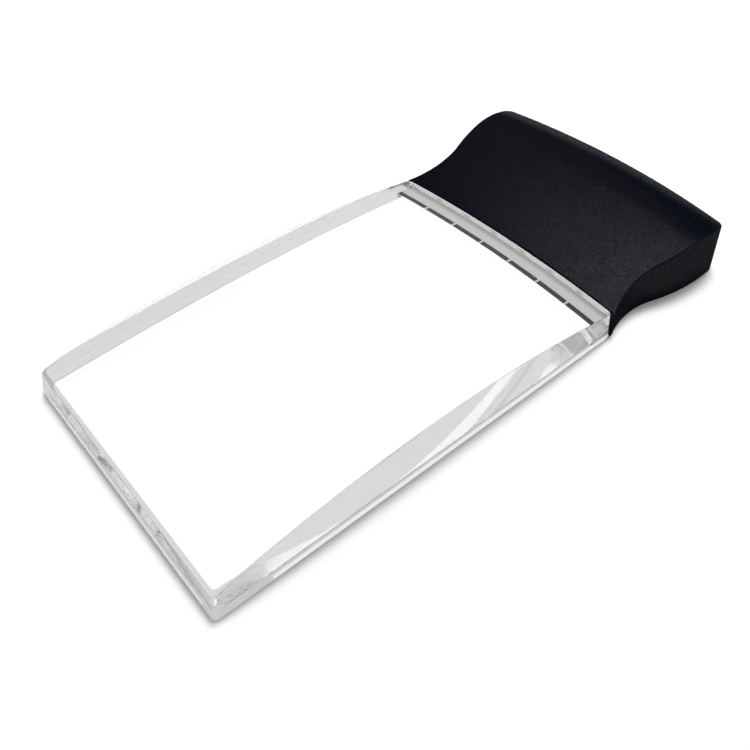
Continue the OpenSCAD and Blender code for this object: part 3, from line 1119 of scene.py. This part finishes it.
@dataclass
class Studio:
    """White ground, soft light from above and the camera of the photo, with places and sizes in mm.

    Heights in the room are sines of the angle above level: its walls are bright up to wall_to, and its
    ceiling is dim from ceiling_from on. The camera sees the ground lifted by the bleach, and blank, a
    little over white, far off and through the lens.
    """

    eye: Point = (-134.1, -147.3, 192.8)
    aim: Point = (-25.2, -13.3, 0.0)
    roll: float = -1.23
    lens: float = 38.29
    sensor: float = 36.0
    nearest: float = 10.0
    softbox: Point = (950.0, 680.0, 3050.0)
    softbox_size: float = 900.0
    softbox_power: float = 88.0
    ambient: float = 0.24
    wall_to: float = 0.05
    ceiling_from: float = 0.22
    wall_level: float = 1.0
    ceiling_level: float = 0.06
    patches: tuple[Patch, ...] = (SHEEN, WINDOW, GLIMMER)
    ground_half: float = 3000.0
    ground_drop: float = 0.05
    bleach: float = 0.08
    blank: float = 1.05
    shadow_reach: float = 300.0
    blank_from: float = 800.0
    bounces: int = 40

    def ground(self) -> None:
        """Lays the white ground."""
        half = mm(self.ground_half)
        low = -mm(self.ground_drop)
        mesh = bpy.data.meshes.new("white ground")
        corners = [(x * half, y * half, low) for x, y in ((-1, -1), (1, -1), (1, 1), (-1, 1))]
        mesh.from_pydata(corners, [], [(0, 1, 2, 3)])
        mesh.materials.append(self.paper())
        ground = add_object("white ground", mesh)

    def paper(self) -> bpy.types.Material:
        """White paper, with a shadow near the object, and plain white further off and through the lens.

        Returns:
            The material of the ground.
        """
        material, tree = new_material("white paper sweep")
        path = add_node(tree, "LightPath")
        lift = add_node(tree, "Math",
                        {0: path.outputs["Is Camera Ray"], 1: self.bleach}, operation="MULTIPLY")
        sheet = add_node(tree, "BsdfDiffuse", {"Color": from_hex(WHITE)})
        lifted = add_node(tree, "Emission", {"Color": from_hex(WHITE), "Strength": lift})
        lit = add_node(tree, "AddShader", {0: sheet, 1: lifted})
        white = add_node(tree, "Emission", {"Color": from_hex(WHITE), "Strength": self.blank})
        place = add_node(tree, "NewGeometry").outputs["Position"]
        off = add_node(tree, "VectorMath", {0: place}, operation="LENGTH")
        far = add_node(tree, "MapRange",
                       {"Value": off, "From Min": mm(self.shadow_reach), "From Max": mm(self.blank_from)},
                       interpolation_type="SMOOTHSTEP")
        away = add_node(tree, "Math", {0: far, 1: path.outputs["Is Camera Ray"]}, operation="MULTIPLY")
        plain_white = add_node(tree, "Math",
                               {0: away, 1: path.outputs["Is Transmission Ray"]}, operation="MAXIMUM")
        shader = add_node(tree, "MixShader", {0: plain_white, 1: lit, 2: white})
        add_node(tree, "OutputMaterial", {"Surface": shader})
        return material

    def sky(self) -> None:
        """A white room, which shiny faces mirror as a dim ceiling, bright walls and patches of light."""
        world = bpy.data.worlds.new("white room")
        bpy.context.scene.world = world
        world.use_nodes = True
        tree = world.node_tree
        tree.nodes.clear()
        way = add_node(tree, "TexCoord").outputs["Generated"]
        up = add_node(tree, "SeparateXYZ", {"Vector": way}).outputs["Z"]
        shown = add_node(tree, "MapRange",
                         {"Value": up, "From Min": self.wall_to, "From Max": self.ceiling_from,
                          "To Min": self.wall_level, "To Max": self.ceiling_level},
                         interpolation_type="SMOOTHSTEP")
        for patch in self.patches:
            shown = add_node(tree, "Math", {0: patch.strength(tree, way), 1: shown}, operation="ADD")
        path = add_node(tree, "LightPath")
        through = path.outputs["Is Transmission Ray"]
        mirrored = add_node(tree, "Math", {0: path.outputs["Is Glossy Ray"], 1: through},
                            operation="SUBTRACT", use_clamp=True)
        plain_level = add_node(tree, "Mix", {"Factor": mirrored, "A": self.ambient, "B": shown})
        seen = add_node(tree, "Math", {0: through, 1: path.outputs["Is Camera Ray"]}, operation="MAXIMUM")
        strength = add_node(tree, "Math", {0: plain_level, 1: seen}, operation="MAXIMUM")
        back = add_node(tree, "Background", {"Color": from_hex(WHITE), "Strength": strength})
        add_node(tree, "OutputWorld", {"Surface": back})

    def lamp(self) -> None:
        """Hangs the soft square lamp, which faces the object."""
        light = bpy.data.lights.new("rear softbox", "AREA")
        light.shape = "SQUARE"
        light.size = mm(self.softbox_size)
        light.energy = self.softbox_power
        lamp = add_object("rear softbox", light)
        lamp.location = Vector(self.softbox) / 1000
        lamp.rotation_euler = (-lamp.location).to_track_quat("-Z", "Y").to_euler()
        lamp.visible_glossy = False
        lamp.visible_transmission = False

    def camera(self) -> None:
        """Sets the camera where the photo was taken from."""
        data = bpy.data.cameras.new("photo camera")
        data.lens = self.lens
        data.sensor_width = self.sensor
        data.clip_start = mm(self.nearest)
        camera = add_object("photo camera", data)
        eye = Vector(self.eye) / 1000
        look = (Vector(self.aim) / 1000 - eye).to_track_quat("-Z", "Y").to_matrix().to_4x4()
        turn = Matrix.Rotation(math.radians(self.roll), 4, "Z")
        camera.matrix_world = Matrix.Translation(eye) @ look @ turn
        bpy.context.scene.camera = camera

    def build(self) -> None:
        """Sets up the ground, the light and the camera."""
        self.ground()
        self.sky()
        self.lamp()
        self.camera()
        paths = bpy.context.scene.cycles
        paths.max_bounces = self.bounces
        paths.glossy_bounces = self.bounces
        paths.transmission_bounces = self.bounces
        bpy.context.scene.view_settings.view_transform = "Standard"


def main() -> None:
    """Loads the frame, dresses every piece and sets up the studio."""
    logging.basicConfig(level=logging.INFO, format="%(name)s: %(message)s")
    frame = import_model()
    joint = Joint()
    Lens(joint).dress()
    Grip(joint).dress()
    Inside(frame["nodes"]).dress()
    Studio().build()


if __name__ == "__main__":
    main()
